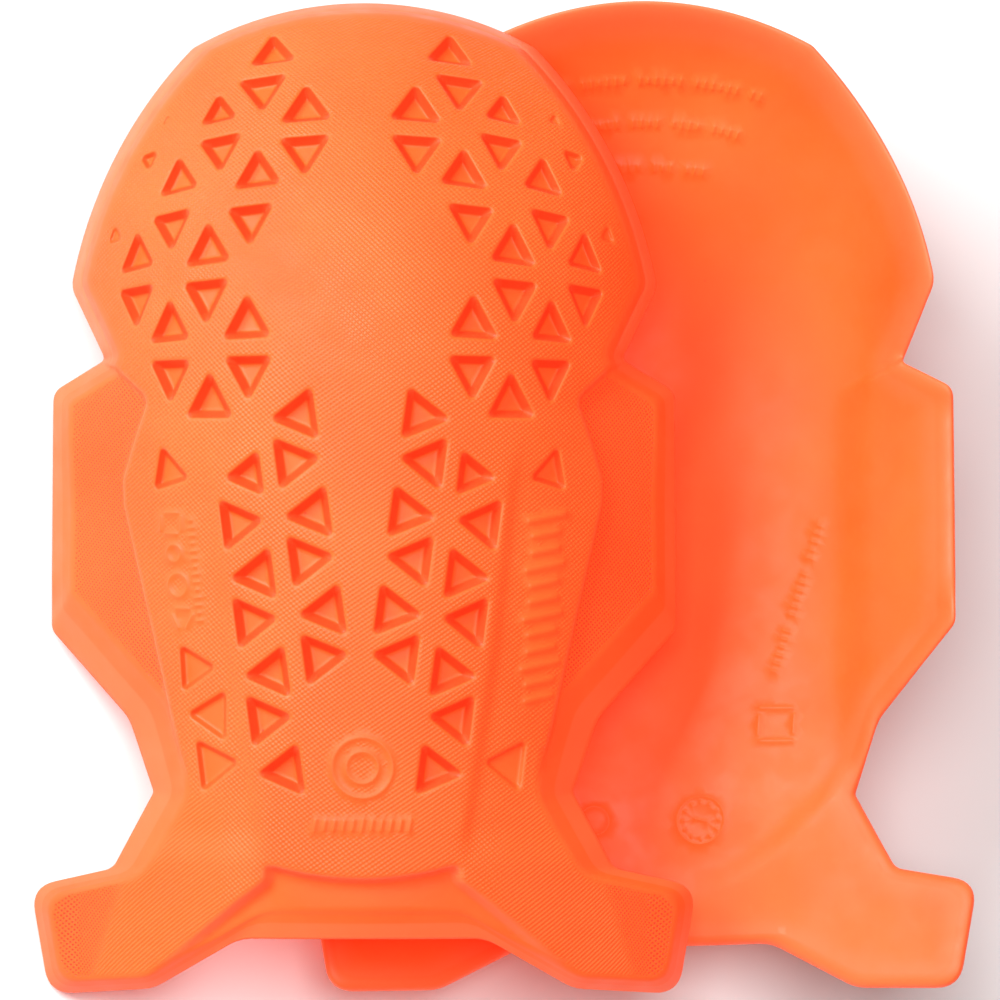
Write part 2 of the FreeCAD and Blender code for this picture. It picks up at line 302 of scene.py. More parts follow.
def pad_outline():
    right = [(u * HALF_SPAN, v * HALF_LENGTH) for u, v, *_ in CORNERS]
    corners = right + [(-u, v) for u, v in reversed(right)]
    radii = [c[2] for c in CORNERS] + [c[2] for c in reversed(CORNERS)]
    count = len(corners)
    half = [(c[3], c[4]) for c in CORNERS]
    widths = half + half[-2::-1] + [TOP]
    outline = Outline(corners, {0: SIDE_ARC, count - 2: SIDE_ARC, count - 1: TOP_ARC}, radii, 1.3)
    return outline, [w[0] for w in widths], [w[1] for w in widths]


def inside(points, loop):
    """Which points are inside a closed loop."""
    x, y = points[:, 0][:, None], points[:, 1][:, None]
    ax, ay = loop[:, 0][None], loop[:, 1][None]
    bx, by = np.roll(loop[:, 0], -1)[None], np.roll(loop[:, 1], -1)[None]
    found = np.zeros(len(points), bool)
    for first in range(0, len(points), 4000):
        part = slice(first, first + 4000)
        crosses = (ay > y[part]) != (by > y[part])
        where = (bx - ax) * (y[part] - ay) / np.where(by == ay, 1e-12, by - ay) + ax
        found[part] = (crosses & (x[part] < where)).sum(1) % 2 == 1
    return found


def distance(points, line, closed=True):
    """How far each point is from a line of straight pieces."""
    a = line if closed else line[:-1]
    b = np.roll(line, -1, axis=0) if closed else line[1:]
    best = np.full(len(points), np.inf)
    for start, end in zip(a, b):
        d = end - start
        share = np.clip(((points - start) @ d) / max(d @ d, 1e-12), 0, 1)
        best = np.minimum(best, np.linalg.norm(points - start - share[:, None] * d, axis=1))
    return best


def signed(points, loop):
    """Distance to a closed loop, positive inside."""
    found = distance(points, loop)
    return np.where(inside(points, loop), found, -found)


# The raised body. Its outer corners lie beyond the outline. Its last edge is the arched ledge.
BODY = [
    (1.20, 1.10, 0.1),
    (1.20, 0.60, 0.1),
    (0.774, 0.278, 1.0),
    (0.644, 0.197, 3.0),
    (0.728, 0.035, 3.0),
    (0.728, -0.015, 3.0),
    (0.539, -0.571, 2.0),
    (0.627, -0.592, 1.0),
    (1.20, -0.64, 0.1),
    (1.20, -1.10, 0.1),
    (0.76, -1.10, 0.1),
    (0.653, -0.972, 4.0),
    (0.451, -0.854, 6.0),
    (0.368, -0.808, 3.0),
    (0.289, -0.768, 2.4),
    (0.292, -0.735, 2.2),
]
LEDGE_ARC = 65.0
# Edge of the plateau down the shin.
TONGUE = [(0.46, 0.12), (0.439, 0.035), (0.388, -0.282), (0.318, -0.591), (0.295, -0.676)]


def body_outline():
    right = [(u * HALF_SPAN, v * HALF_LENGTH) for u, v, _ in BODY]
    corners = right + [(-u, v) for u, v in reversed(right)]
    radii = [r for *_, r in BODY] + [r for *_, r in reversed(BODY)]
    return Outline(corners, {len(right) - 1: LEDGE_ARC}, radii, 1.0)


# How far down the step has gone at each distance inside the raised body's edge.
STEP_AT = np.array([-1.7, -1.25, -0.75, -0.1, 0.2, 0.55, 1.0])
STEP_DOWN = np.array([1.0, 0.96, 0.80, 0.28, 0.10, 0.02, 0.0])


class OuterFace:
    """The outer face: raised body, wings, plateau and lip."""

    def __init__(self):
        self.body = body_outline()
        self.edge = self.body.ring([0.0] * self.body.count)
        right = np.array(TONGUE) * [HALF_SPAN, HALF_LENGTH]
        self.tongue = np.concatenate([right, right[::-1] * [-1, 1]])

    def lowered(self, points):
        u, v = points[:, 0], points[:, 1]
        lip = 1 - smooth(-66.0, -62.0, v)
        lip_step = LIP_STEP * (1 - 0.6 * smooth(20.0, 44.0, np.abs(u)))
        from_edge = signed(points, self.edge)
        down = np.interp(from_edge, STEP_AT, STEP_DOWN)
        down = down * (WING_STEP + lip * (lip_step - WING_STEP))
        line_u = np.interp(-v, -self.tongue[:5, 1], self.tongue[:5, 0])
        beside = smooth(-0.5, 2.6, np.abs(u) - line_u)
        fade = 1 - smooth(-2.0, 14.0, v)
        fade = fade * smooth(-74.0, -66.0, v)
        return down + TONGUE_STEP * beside * fade

    def place(self, points):
        u, v = points[:, 0], points[:, 1]
        surface = np.stack([u, v, body_height(u, v)], axis=1)
        return surface - body_normal(u, v) * self.lowered(points)[:, None]


# ---------------------------------------------------------------- pockets

POCKET_SIDE = 11.4
POCKET_DEPTH = 3.6
ASIDE = -0.4  # the pockets are this far off the middle line, all together

# Pockets over the dome, left of the middle line: u, v, apex (1 up, -1 down), size, depth.
DOME_POCKETS = [
    (17.8, 89.5, 1, 0.88, 3.4),
    (19.8, 82.1, -1, 0.95, 3.6),
    (11.0, 78.1, 1, 0.97, 3.6),
    (28.6, 77.5, 1, 0.74, 3.0),
    (28.2, 70.0, -1, 0.88, 3.6),
    (11.2, 69.7, -1, 0.97, 3.6),
    (20.7, 65.0, 1, 0.92, 3.6),
    (22.1, 55.7, -1, 0.91, 3.6),
    (36.6, 63.8, 1, 0.85, 3.0),
    (38.0, 54.5, -1, 0.88, 3.4),
    (30.6, 49.7, 1, 0.94, 3.6),
    (30.9, 40.4, -1, 0.95, 3.6),
    (45.0, 48.4, 1, 0.86, 3.0),
    (45.1, 39.4, -1, 0.90, 3.4),
    (22.7, 34.9, 1, 0.95, 3.6),
    (22.4, 25.2, -1, 0.94, 3.6),
    (38.3, 34.2, 1, 0.92, 3.6),
    (38.1, 24.5, -1, 0.92, 3.6),
    (30.2, 19.1, 1, 0.98, 3.6),
    (39.0, 75.9, 1, 0.30, 0.7),
    (42.7, 68.0, -1, 0.50, 1.8),
    (49.6, 52.6, 1, 0.42, 0.9),
]
STRIP_LEAN = 8.1
STRIP_STEP = 9.9
STRIPS = [(24.7, 4.35, 7), (13.6, 16.7, 6)]  # u and v of the first pocket, and how many
FIRST_OUTER = (22.3, 4.6, 0.84)  # the first of the outer strip is small and stands further in
# Shallow pockets, on one side only: u, v, apex direction in degrees, size and depth.
SHALLOW = [
    (-38.9, 5.2, 105.0, 0.86, 2.4),
    (38.5, 5.1, 75.0, 0.84, 2.4),
    (-34.1, -34.2, 4.0, 0.88, 1.7),
    (-30.0, -43.7, 180.0, 0.94, 1.5),
    (-30.1, -53.6, 8.0, 0.98, 1.7),
    (30.3, -53.6, 172.0, 0.95, 1.1),
]


def pockets():
    """Centre, apex direction in degrees, size and depth of every pocket."""
    found = []
    for u, v, way, scale, depth in DOME_POCKETS:
        for side in (-1, 1):
            found.append((side * u + ASIDE, v, 90.0 * way, scale, depth))
    lean = math.radians(STRIP_LEAN)
    shift = 0.14 * POCKET_SIDE
    for strip, (first_u, first_v, count) in enumerate(STRIPS):
        for i in range(count):
            out = i % 2 == 0
            aside = -shift if out else shift
            along = i * STRIP_STEP
            u = first_u - along * math.sin(lean) + aside * math.cos(lean)
            v = first_v - along * math.cos(lean) + aside * math.sin(lean)
            scale = 0.97
            if strip == 0 and i == 0:
                u, v, scale = FIRST_OUTER
            tilt = -STRIP_LEAN if out else 180 - STRIP_LEAN
            found.append((u + ASIDE, v, tilt, scale, POCKET_DEPTH))
            found.append((-u + ASIDE, v, 180 - tilt, scale, POCKET_DEPTH))
    found.extend((u + ASIDE, *rest) for u, *rest in SHALLOW)
    return found


DRAFT = 0.36  # how far a pocket's wall leans in for each mm down
CORNER = 0.9


def pocket_rings(depth, size):
    """Inset and depth of each ring of a pocket, from its rounded rim to its flat floor."""
    depth = min(depth, (0.36 * size - 0.5) / DRAFT)
    lip = 0.35 * min(1.0, depth / 1.8)
    wall_end = lip / 2 + DRAFT * (depth - 1.1 * lip)
    room = min(1.0, (0.47 * size - wall_end) / 1.05)
    fillet = min(0.45, 0.4 * depth)
    return [
        (-0.75, 0.0),
        (-0.40, 0.03 * lip),
        (-0.12, 0.22 * lip),
        (0.06, 0.7 * lip),
        (0.18, 1.5 * lip),
        (wall_end, depth - fillet),
        (wall_end + 0.18 * room, depth - 0.35 * fillet),
        (wall_end + 0.45 * room, depth),
        (wall_end + 1.0 * room, depth),
    ]


def rounded_triangle(reach, radius, step):
    """Points round a triangle with its apex on +x; reach is from its centre to its sharp corners."""
    radius = min(radius, 0.3 * reach)
    centre_reach = reach - 2 * radius
    points = []
    for k in range(3):
        angle = 2 * math.pi * k / 3
        centre = np.array([math.cos(angle), math.sin(angle)]) * centre_reach
        for j in range(7):
            at = angle - math.pi / 3 + 2 * math.pi / 3 * j / 6
            points.append(centre + radius * np.array([math.cos(at), math.sin(at)]))
        after = angle + 2 * math.pi / 3
        following = np.array([math.cos(after), math.sin(after)]) * centre_reach
        outward = np.array([math.cos(angle + math.pi / 3), math.sin(angle + math.pi / 3)])
        start, end = centre + radius * outward, following + radius * outward
        for j in range(1, step):
            points.append(start + (end - start) * j / step)
    return np.array(points)


# ---------------------------------------------------------------- marks


def pill(length, width, points=5):
    """A bar with round ends, along x."""
    half = length / 2 - width / 2
    angles = np.linspace(-math.pi / 2, math.pi / 2, points)
    cap = np.stack([half + width / 2 * np.cos(angles), width / 2 * np.sin(angles)], axis=1)
    count = max(2, int(length / 1.2))
    top = np.stack([np.linspace(half, -half, count)[1:-1], np.full(count - 2, width / 2)], axis=1)
    return np.concatenate([cap, top, -cap, -top])


def circle(radius, count):
    angles = np.linspace(0, 2 * math.pi, count, endpoint=False)
    return np.stack([np.cos(angles), np.sin(angles)], axis=1) * radius


def polar(centre, radius, degrees):
    angle = math.radians(degrees)
    return (centre[0] + radius * math.cos(angle), centre[1] + radius * math.sin(angle))


def outer_marks():
    """Raised marks that spell nothing. A bar is length, width, centre and degrees; a ring is
    centre, outer and inner radius."""
    bars = []
    rings = []
    emblem = (0.0, -54.0)
    rings.append((emblem, 6.5, 5.7))
    rings.append((emblem, 3.6, 2.9))
    for k in range(11):
        bars.append((2.6 if k % 5 else 3.0, 0.8, ((k - 5) * 1.9, -65.6), 80))
    for du, dv, degrees in ((0.0, 2.1, 0), (0.0, -2.1, 0), (-2.1, 0.0, 90), (2.1, 0.0, 90)):
        bars.append((3.4, 0.7, (-38.9 + du, -5.2 + dv), degrees))
    rings.append(((-38.3, -11.2), 2.1, 1.4))
    rings.append(((-37.5, -17.6), 2.7, 2.0))
    for k in range(3):
        bars.append((3.6, 0.7, polar((-36.6, -24.0), 1.7, 90 + 120 * k), 120 * k))
    for k in range(14):
        bars.append((1.7 if k % 3 else 1.0, 0.6, (-35.0 + 0.15 * k, -4.6 - 1.55 * k), 8))
    for k in range(12):
        bars.append((7.5 if k % 3 else 10.0, 1.3, (37.4 - 0.16 * k, -4.0 - 3.3 * k), 8))
    return bars, rings


def inner_marks():
    """The same for the cup: three arcs of strokes, a leaning row, a dial, a frame and a ring."""
    bars = []
    rings = []
    arc_centre = (0.0, 12.0)
    for radius, count, gaps in ((74.0, 30, 7), (66.0, 24, 5), (57.5, 15, 4)):
        for k in range(count):
            if k % gaps == gaps - 1:
                continue
            degrees = 90 + (k - (count - 1) / 2) * 95 / radius
            tall = 1.9 if k % 3 else 1.4
            bars.append((tall, 0.6, polar(arc_centre, radius, degrees), degrees))
    for k in range(19):
        if k % 7 != 6:
            bars.append((2.0 if k % 3 else 1.4, 0.6, (-25.5 - 0.52 * k, -33.0 + 1.64 * k), 17))
    dial = (-10.5, -63.2)
    rings.append((dial, 5.1, 4.7))
    for k in range(12):
        bars.append((0.9, 0.45, polar(dial, 3.7, 30 * k), 30 * k))
    bars.append((3.0, 0.5, dial, 15))
    frame_mark = (-26.0, -44.0)
    bars.append((8.0, 0.8, (frame_mark[0], frame_mark[1] + 3.4), 4))
    bars.append((8.0, 0.8, (frame_mark[0], frame_mark[1] - 3.4), 4))
    bars.append((4.6, 0.8, (frame_mark[0] - 3.6, frame_mark[1]), 94))
    bars.append((4.6, 0.8, (frame_mark[0] + 3.6, frame_mark[1]), 94))
    small = (11.0, -63.2)
    rings.append((small, 3.2, 2.7))
    return bars, rings


# ---------------------------------------------------------------- meshes


class Patch:
    """Collects points and lines over the (u, v) plane and triangulates them. Each point has a
    shift that is added to the surface's own place."""

    def __init__(self, boundary):
        self.points = [tuple(p) for p in boundary]
        self.shifts = [np.zeros(3) for _ in boundary]
        count = len(boundary)
        self.edges = [(i, (i + 1) % count) for i in range(count)]
        self.boundary = boundary
        self.holes = []

    def loop(self, points, shifts, closed=True):
        first = len(self.points)
        self.points.extend(tuple(p) for p in points)
        self.shifts.extend(shifts)
        last = len(points) if closed else len(points) - 1
        self.edges.extend((first + i, first + (i + 1) % len(points)) for i in range(last))

    def line(self, points, clear):
        """A free line along a crease; its points too near the boundary are left out."""
        keep = inside(points, self.boundary)
        keep &= distance(points, self.boundary) > clear
        for hole in self.holes:
            keep &= ~inside(points, hole)
        first = None
        for point, kept in zip(points, keep):
            if not kept:
                first = None
                continue
            self.points.append(tuple(point))
            self.shifts.append(np.zeros(3))
            if first is not None:
                self.edges.append((first, len(self.points) - 1))
            first = len(self.points) - 1

    def fill(self, spacing, clear):
        """A regular field of points wherever there is room."""
        low, high = self.boundary.min(0), self.boundary.max(0)
        rows = np.arange(low[1], high[1], spacing * math.sqrt(3) / 2)
        field = []
        for j, y in enumerate(rows):
            xs = np.arange(low[0] + (spacing / 2 if j % 2 else 0), high[0], spacing)
            field.extend((x, y) for x in xs)
        field = np.array(field)
        field = field[inside(field, self.boundary)]
        for hole in self.holes:
            near = np.abs(field - hole.mean(0)).max(1) < 12
            near[near] = inside(field[near], hole)
            field = field[~near]
        tree = KDTree(len(self.points))
        for i, p in enumerate(self.points):
            tree.insert((p[0], p[1], 0), i)
        tree.balance()
        for p in field:
            if tree.find((p[0], p[1], 0))[2] > clear:
                self.points.append(tuple(p))
                self.shifts.append(np.zeros(3))

    def triangles(self):
        points = [Vector(p) for p in self.points]
        found = delaunay_2d_cdt(points, self.edges, [], 0, 1e-5, True)
        made = np.array([tuple(p) for p in found[0]])
        source = [o[0] if o else -1 for o in found[3]]
        shifts = np.array(self.shifts)
        bare = np.array(self.bare)
        # A point made where two lines cross takes after its nearest neighbour.
        for i in [i for i, given in enumerate(source) if given < 0]:
            near = np.linalg.norm(np.array(self.points) - made[i], axis=1)
            source[i] = int(near.argmin())
        shift = shifts[source]
        self.bare_of = bare[source]
        order = {s: i for i, given in enumerate(found[3]) for s in given}
        ring = [order[i] for i in range(len(self.boundary))]
        faces = np.array(found[2])
        middle = made[faces].mean(1)
        keep = inside(middle, self.boundary)
        doubtful = np.isin(faces, ring).all(1)
        keep[doubtful] |= distance(middle[doubtful], self.boundary) < 0.01
        faces = without_slivers(faces[keep], ring)
        a, b, c = (made[faces[:, k]] for k in range(3))
        area = (b[:, 0] - a[:, 0]) * (c[:, 1] - a[:, 1]) - (b[:, 1] - a[:, 1]) * (c[:, 0] - a[:, 0])
        faces = np.where(area[:, None] < 0, faces[:, ::-1], faces)
        return made, shift, faces, ring


def without_slivers(faces, ring):
    """Leaves out thin triangles just outside the boundary: one of their sides leads nowhere."""
    border = {tuple(sorted(pair)) for pair in zip(ring, ring[1:] + ring[:1])}
    while True:
        sides = np.sort(np.concatenate([faces[:, pair] for pair in ([0, 1], [1, 2], [2, 0])]), axis=1)
        _, which, uses = np.unique(sides, axis=0, return_inverse=True, return_counts=True)
        single = uses[which.ravel()] == 1
        loose = [one and tuple(side) not in border for one, side in zip(single, sides.tolist())]
        loose = np.array(loose).reshape(3, -1).any(0)
        if not loose.any():
            return faces
        faces = faces[~loose]


def length(vectors):
    return np.linalg.norm(vectors, axis=-1, keepdims=True)


def tangent_frame(u, v):
    normal = body_normal(np.array([u]), np.array([v]))[0]
    across = np.array([1.0, 0.0, 0.0]) - normal[0] * normal
    across /= np.linalg.norm(across)
    return across, np.cross(normal, across), normal


def laid(shape, centre, degrees):
    """A flat shape laid on the tangent plane at a place and turned; its (u, v) points."""
    across, along, normal = tangent_frame(*centre)
    angle = math.radians(degrees)
    cos, sin = math.cos(angle), math.sin(angle)
    x = cos * shape[:, 0] - sin * shape[:, 1]
    y = sin * shape[:, 0] + cos * shape[:, 1]
    flat = np.array(centre) + x[:, None] * across[:2] + y[:, None] * along[:2]
    return flat, normal


class Pad:
    """The mesh of one pad, with what its material needs to know about each point."""

    def __init__(self):
        self.outer = OuterFace()
        self.outline, self.walls, self.rims = pad_outline()
        self.outer_patch()
        self.inner_patch()

    def outer_patch(self):
        edge_of_face = self.outline.ring([w + ROUND_WIDTH for w in self.walls])
        patch = Patch(edge_of_face)
        patch.bare = [0.35] * len(edge_of_face)
        for u, v, turn, scale, depth in pockets():
            self.add_pocket(patch, u, v, turn, scale, depth)
        self.add_marks(patch, *outer_marks(), 1.0)
        self.pad_bare(patch)
        for at in (*STEP_AT, 2.2):
            line = self.outer.body.ring([at] * self.outer.body.count)
            patch.line(spaced(line, 1.1), 0.4)
        for at in (-0.5, 0.6, 1.6, 2.6):
            patch.line(spaced(self.outer.tongue[:5] + [at, 0], 1.5), 0.4)
            patch.line(spaced(self.outer.tongue[5:] - [at, 0], 1.5), 0.4)
        patch.fill(1.5, 0.75)
        self.pad_bare(patch)
        self.top = patch

    def pad_bare(self, patch):
        patch.bare.extend([0.0] * (len(patch.points) - len(patch.bare)))

    def add_pocket(self, patch, u, v, turn, scale, depth):
        reach = POCKET_SIDE / math.sqrt(3)
        while True:
            size = reach * scale
            rings = pocket_rings(depth, size)
            outermost, normal = laid(rounded_triangle(size + 1.6, 1.3, 6), (u, v), turn)
            clear = inside(outermost, patch.boundary).all()
            if clear and distance(outermost, patch.boundary).min() > 0.1:
                break
            scale *= 0.9
            if scale < 0.2:
                return
        patch.holes.append(outermost)
        axis = 0.3 * normal + [0.0, 0.0, 0.7]
        axis /= np.linalg.norm(axis)
        for number, (inset, down) in enumerate(rings):
            shape = rounded_triangle(size - 2 * inset, max(0.3, CORNER - 0.6 * inset), 6)
            flat, _ = laid(shape, (u, v), turn)
            patch.loop(flat, [-axis * down] * len(flat))
            bare = min(1.0, 0.5 * number)
            # Past 1 the value is painted shade on the pocket's walls, stronger for deeper pockets.
            painted_wall_shade = (0.0, 0.0, 0.0, 0.4, 1.0, 1.0, 0.5, 0.0, 0.0)[number]
            patch.bare.extend([bare + painted_wall_shade * min(1.0, depth / 3)] * len(flat))

    def add_marks(self, patch, bars, rings, way):
        for length_, width, centre, degrees in bars:
            for grow, up in ((MARK_SLOPE, 0.0), (-MARK_SLOPE, MARK_HEIGHT)):
                shape = pill(length_ + 2 * grow, max(0.12, width + 2 * grow))
                flat, normal = laid(shape, centre, degrees)
                patch.loop(flat, [normal * up * way] * len(flat))
                if not up:
                    patch.holes.append(flat)
        for centre, outside, inner in rings:
            count = max(16, int(outside * 6))
            for radius, up in (
                (outside + MARK_SLOPE, 0.0),
                (outside - MARK_SLOPE, MARK_HEIGHT),
                (inner + MARK_SLOPE, MARK_HEIGHT),
                (inner - MARK_SLOPE, 0.0),
            ):
                flat, normal = laid(circle(radius, count), centre, 0)
                patch.loop(flat, [normal * up * way] * len(flat))
        patch.bare.extend([1.0] * (len(patch.points) - len(patch.bare)))

    def inner_patch(self):
        patch = Patch(self.outline.ring(self.rims))
        patch.bare = [1.0] * len(patch.boundary)
        self.add_marks(patch, *inner_marks(), -1.0)
        for at in (25.4, 26.2, 27.0, 27.8, 28.6):
            run = np.linspace(36.0, 62.0, 22)
            for side in (-1, 1):
                line = np.stack([side * run, at - 0.37 * (48.3 - run)], axis=1)
                patch.line(line, 0.5)
        for at in (-1.2, 0.0, 1.2):
            run = np.linspace(-44.0, 44.0, 60)
            patch.line(np.stack([run, at - 81.0 + 0.0145 * run**2], axis=1), 0.5)
        patch.fill(1.9, 0.9)
        patch.bare.extend([1.0] * (len(patch.points) - len(patch.bare)))
        self.cup = patch

    def mesh(self, name):
        outer = self.outer
        flat, shift, faces, ring = self.top.triangles()
        bare = self.top.bare_of
        top = outer.place(flat) + shift
        from_edge = signed(flat, outer.edge)
        low = flat[:, 1] < -62
        on_lip = low & (np.abs(flat[:, 0]) < 30) & (from_edge < 0)
        knurl = smooth(0.3, 1.3, from_edge) * np.clip(1 - bare, 0, 1)
        pits = (1 - smooth(-1.9, -1.0, from_edge)) * np.clip(1 - bare, 0, 1)
        pits = np.where(on_lip, 0.0, pits)
        foot = smooth(-58.0, -62.0, flat[:, 1]) * smooth(26.0, 31.0, np.abs(flat[:, 0]))
        ends = smooth(-1.0, 1.0, np.abs(flat[:, 0]) - 49.0 + 0.3 * (flat[:, 1] + 77.0))
        lines = knurl * foot * (1 - ends)
        pits = np.maximum(pits, knurl * foot * ends)
        knurl = knurl * (1 - foot)
        # What bare holds past 1 is the painted shade of the pocket walls.
        pocket = np.clip(bare - 1, 0, 1)
        masks = [np.stack([knurl, pits, lines], axis=1)]
        # A painted highlight along the sloping side of the raised body's step.
        painted_step_highlight = 0.45 * smooth(-1.5, -0.8, from_edge) * (1 - smooth(0.2, 1.0, from_edge))
        tones = [np.stack([painted_step_highlight, np.zeros_like(pocket), pocket], axis=1)]
        points = [top]
        count = len(top)
        loops = [np.array(ring)]
        # Over the edge, down the wall, round the rim and into the cup.
        edge_at = self.outline.ring(self.walls)
        edge = outer.place(edge_at)
        base_at = self.outline.ring([0.0] * self.outline.count)
        base = np.column_stack([base_at, cup_height(*base_at.T)])
        cup_at = self.outline.ring(self.rims)
        cup_edge = np.column_stack([cup_at, cup_height(*cup_at.T)])
        start = top[loops[0]]
        down = base - edge
        tall = length(down)
        after_edge = edge + down * np.minimum(1.1 / tall, 0.3)
        before_base = base + np.minimum(2.2, 0.4 * tall) * [0.0, 0.0, 1.0]
        steps = []
        for share in (0.17, 0.36, 0.58, 0.80):
            at = (1 - share) ** 2 * start + 2 * share * (1 - share) * edge + share**2 * after_edge
            steps.append((at, 0.25 * share))
        inward = np.roll(base, -1, axis=0) - np.roll(base, 1, axis=0)
        inward = np.column_stack([inward[:, 1], -inward[:, 0], np.zeros(len(base))])
        inward /= length(inward)
        for share in (0.0, 0.12, 0.26, 0.35, 0.40, 0.45, 0.54, 0.72, 0.90, 1.0):
            groove = 0.42 * math.exp(-(((share - 0.40) / 0.055) ** 2))
            groove = groove * smooth(24.0, 34.0, base_at[:, 1])[:, None]
            at = after_edge + (before_base - after_edge) * share + inward * groove
            steps.append((at, 0.15 if share < 0.40 else 1.0))
        for share in (0.10, 0.22, 0.35, 0.48, 0.62, 0.76, 0.90):
            at = (1 - share) ** 2 * before_base + 2 * share * (1 - share) * base
            steps.append((at + share**2 * cup_edge, 1.0 - 0.6 * share))
        # Every loop down the wall carries a painted highlight, half as strong below the notch.
        upper = 0.5 + 0.5 * smooth(24.0, 34.0, base_at[:, 1])
        for at, rim in steps:
            loops.append(np.arange(len(at)) + count)
            points.append(at)
            count += len(at)
            masks.append(np.zeros((len(at), 3)))
            painted_wall_highlight = rim * upper
            tones.append(np.stack([painted_wall_highlight, np.zeros(len(at)), np.zeros(len(at))], axis=1))
        in_flat, in_shift, in_faces, in_ring = self.cup.triangles()
        cup = np.column_stack([in_flat, cup_height(*in_flat.T)]) + in_shift
        points.append(cup)
        masks.append(np.zeros((len(cup), 3)))
        inner = np.ones(len(cup))
        # A painted highlight round the soft rim of the cup.
        painted_cup_edge_highlight = 0.4 * (1 - smooth(0.0, 4.0, distance(in_flat, self.cup.boundary)))
        tones.append(np.stack([painted_cup_edge_highlight, inner, np.zeros(len(cup))], axis=1))
        loops.append(np.array(in_ring) + count)
        walls = []
        for a, b in zip(loops, loops[1:]):
            walls.append(np.stack([a, np.roll(a, -1), np.roll(b, -1), b], axis=1))
        polygons = [tuple(f) for f in faces.tolist()]
        polygons += [tuple(f) for f in np.concatenate(walls).tolist()]
        polygons += [tuple(f) for f in (in_faces[:, ::-1] + count).tolist()]
        place = np.concatenate(points)
        mesh = bpy.data.meshes.new(name)
        mesh.from_pydata((place / 1000).tolist(), [], polygons)
        mesh.validate()
        mesh.polygons.foreach_set("use_smooth", np.ones(len(mesh.polygons), bool))
        across = np.clip(place[:, 0] / CROWN_RADIUS, -0.86, 0.86)
        along = np.clip((place[:, 1] - DOME_START) / DOME_RADIUS, -0.2, 0.97)
        weave = np.stack(
            [
                CROWN_RADIUS * np.arcsin(across) + place[:, 0] - CROWN_RADIUS * across,
                np.where(
                    place[:, 1] > DOME_START,
                    DOME_RADIUS * np.arcsin(along),
                    place[:, 1] - DOME_START,
                ),
                np.zeros(len(place)),
            ],
            axis=1,
        )
        for label, values in (
            ("texture", np.concatenate(masks)),
            ("tone", np.concatenate(tones)),
            ("weave", weave),
            ("place", place),
        ):
            layer = mesh.attributes.new(label, "FLOAT_VECTOR", "POINT")
            layer.data.foreach_set("vector", values.astype(np.float32).ravel())
        return mesh


def spaced(line, step):
    """The same line with its points about a step apart."""
    gaps = np.linalg.norm(np.diff(line, axis=0), axis=1)
    along = np.concatenate([[0], np.cumsum(gaps)])
    count = max(2, int(round(along[-1] / step)))
    wanted = np.linspace(0, along[-1], count)
    return np.stack([np.interp(wanted, along, line[:, k]) for k in (0, 1)], axis=1)


# ---------------------------------------------------------------- material


class Nodes:
    """Short ways to add shader nodes."""

    def __init__(self, tree):
        self.tree = tree

    def new(self, kind, **settings):
        node = self.tree.nodes.new(kind)
        for name, value in settings.items():
            setattr(node, name, value)
        return node

    def put(self, socket, value):
        if isinstance(value, bpy.types.NodeSocket):
            self.tree.links.new(value, socket)
        else:
            socket.default_value = value

    def math(self, operation, a, b=0.0, c=0.0):
        node = self.new("ShaderNodeMath", operation=operation)
        for socket, value in zip(node.inputs, (a, b, c)):
            self.put(socket, value)
        return node.outputs[0]

    def attribute(self, name):
        return self.new("ShaderNodeAttribute", attribute_name=name).outputs["Vector"]

    def split(self, vector):
        node = self.new("ShaderNodeSeparateXYZ")
        self.put(node.inputs[0], vector)
        return node.outputs

    def dot(self, vector, direction):
        node = self.new("ShaderNodeVectorMath", operation="DOT_PRODUCT")
        self.put(node.inputs[0], vector)
        self.put(node.inputs[1], direction)
        return node.outputs["Value"]

    def noise(self, vector, scale, detail=2.0, roughness=0.5):
        node = self.new("ShaderNodeTexNoise")
        self.put(node.inputs["Vector"], vector)
        self.put(node.inputs["Scale"], scale)
        self.put(node.inputs["Detail"], detail)
        self.put(node.inputs["Roughness"], roughness)
        return node.outputs["Fac"]

    def ramp(self, value, low, high, to_low=0.0, to_high=1.0):
        node = self.new("ShaderNodeMapRange")
        for socket, given in zip(node.inputs[:5], (value, low, high, to_low, to_high)):
            self.put(socket, given)
        return node.outputs[0]

    def mix(self, share, a, b):
        node = self.new("ShaderNodeMix", data_type="RGBA")
        self.put(node.inputs["Factor"], share)
        for socket, colour in ((node.inputs[6], a), (node.inputs[7], b)):
            self.put(socket, (*colour, 1.0) if isinstance(colour, tuple) else colour)
        return node.outputs[2]


